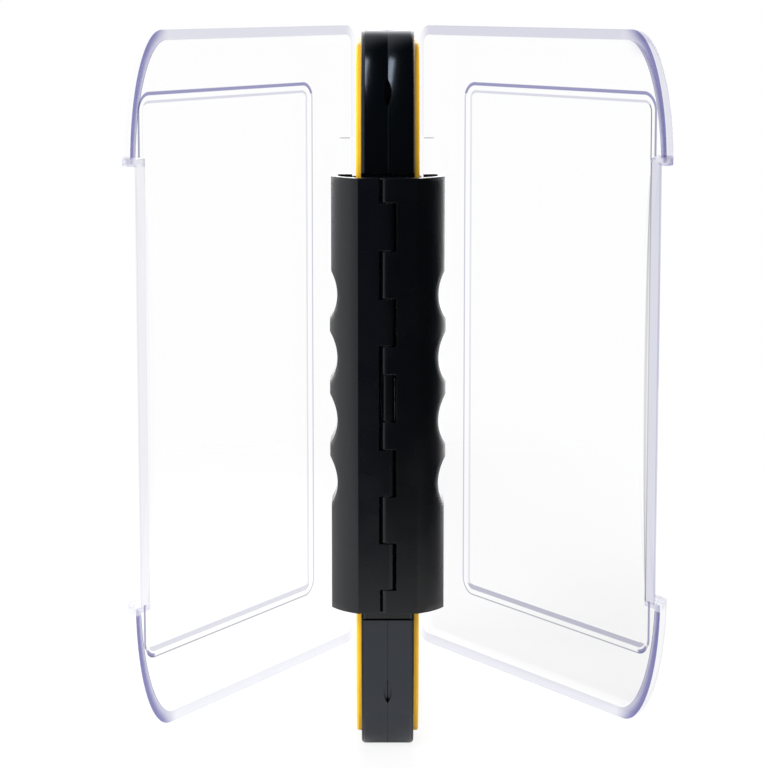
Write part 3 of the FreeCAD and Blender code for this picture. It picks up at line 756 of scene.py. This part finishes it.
def make_world(settings):
    """White where it is seen. Reflections show a darker room on the photographer's side and a
    brighter one far behind the object."""
    lean, room, room_dark, behind = -0.7, (-0.45, 0.5), 0.02, (0.25, 0.9)
    world = bpy.data.worlds.new("soft_studio")
    bpy.context.scene.world = world
    world.use_nodes = True
    nodes = Nodes(world.node_tree)
    x, y, _ = nodes.split(nodes.node("ShaderNodeTexCoord", {}, {})["Generated"])
    mirrored = ((x * lean + y).band(*room, room_dark, 1.0)
                + y.band(*behind, 0.0, settings.wrap_level))
    path = nodes.node("ShaderNodeLightPath", {}, {})
    light = Field(nodes, path["Is Glossy Ray"]).mix(settings.dome_level, mirrored)
    seen = Field(nodes, path["Is Camera Ray"]).most(path["Is Transmission Ray"])
    level = seen.mix(light, 1.0)
    back = nodes.node("ShaderNodeBackground", {}, {"Color": WHITE, "Strength": level})[0]
    nodes.node("ShaderNodeOutputWorld", {}, {0: back})


def lamp(name, place, target, wide, tall, power, mirrored=False, tone=(1.0, 1.0, 1.0)):
    """Adds a rectangular lamp. Only a mirrored one shows in reflections."""
    data = bpy.data.lights.new(name, "AREA")
    data.shape = "RECTANGLE"
    data.size = wide
    data.size_y = tall
    data.energy = power
    data.color = tone
    thing = bpy.data.objects.new(name, data)
    bpy.context.scene.collection.objects.link(thing)
    thing.location = place
    thing.rotation_mode = "QUATERNION"
    thing.rotation_quaternion = (Vector(target) - Vector(place)).to_track_quat("-Z", "Y")
    thing.visible_glossy = mirrored


def make_lamps(settings):
    middle, upper_middle = (0.0, -0.05, 0.1), (0.0, -0.05, 0.19)
    lamp("key_lamp", place=(-0.75, -0.45, 0.35), target=middle, wide=0.5, tall=0.9,
         power=settings.key_power)
    lamp("rim_lamp", place=(0.75, 0.12, 0.25), target=middle, wide=0.3, tall=0.9,
         power=settings.rim_power)
    lamp("top_lamp", place=(-0.27, -0.66, 0.78), target=upper_middle, wide=0.14, tall=0.36,
         power=settings.top_power, mirrored=True, tone=(0.85, 0.93, 1.0))


def make_camera(settings):
    data = bpy.data.cameras.new("camera")
    data.lens = settings.focal_length
    data.sensor_width = 36.0
    data.shift_y = settings.frame_shift
    data.clip_start = 0.01
    data.clip_end = 50.0
    camera = bpy.data.objects.new("camera", data)
    bpy.context.scene.collection.objects.link(camera)
    camera.location = (settings.camera_side, settings.camera_back, settings.camera_height)
    camera.rotation_euler = (math.pi / 2 - settings.camera_tip, 0.0, 0.0)
    bpy.context.scene.camera = camera


class StageOperator(bpy.types.Operator):
    """Make the floor, the world, the lamps and the camera"""
    bl_idname = "fly_box.stage"
    bl_label = "Make stage"

    def execute(self, context):
        settings = context.scene.fly_box_stage
        make_floor(settings)
        make_world(settings)
        make_lamps(settings)
        make_camera(settings)
        context.scene.view_settings.view_transform = "Standard"
        return {"FINISHED"}


PIECES = (ShellOperator, GripOperator, SealOperator, FoamOperator, LidOperator, PinOperator,
          StageOperator)


class FlyBoxPanel(bpy.types.Panel):
    """Buttons for each piece and the stage"""
    bl_idname = "VIEW3D_PT_fly_box"
    bl_label = "Fly Box"
    bl_space_type = "VIEW_3D"
    bl_region_type = "UI"
    bl_category = "Fly Box"

    def draw(self, context):
        column = self.layout.column()
        for piece in PIECES:
            column.operator(piece.bl_idname)


def register():
    for name, group in SETTINGS.items():
        bpy.utils.register_class(group)
        setattr(bpy.types.Scene, name, PointerProperty(type=group))
    for piece in PIECES:
        bpy.utils.register_class(piece)
    bpy.utils.register_class(FlyBoxPanel)


def unregister():
    bpy.utils.unregister_class(FlyBoxPanel)
    for piece in reversed(PIECES):
        bpy.utils.unregister_class(piece)
    for name, group in reversed(list(SETTINGS.items())):
        delattr(bpy.types.Scene, name)
        bpy.utils.unregister_class(group)


def main():
    register()
    bpy.ops.fly_box.shell()
    bpy.ops.fly_box.grip()
    bpy.ops.fly_box.seals()
    bpy.ops.fly_box.foam()
    bpy.ops.fly_box.lids()
    bpy.ops.fly_box.pins()
    bpy.ops.fly_box.stage()


if __name__ == "__main__":
    main()
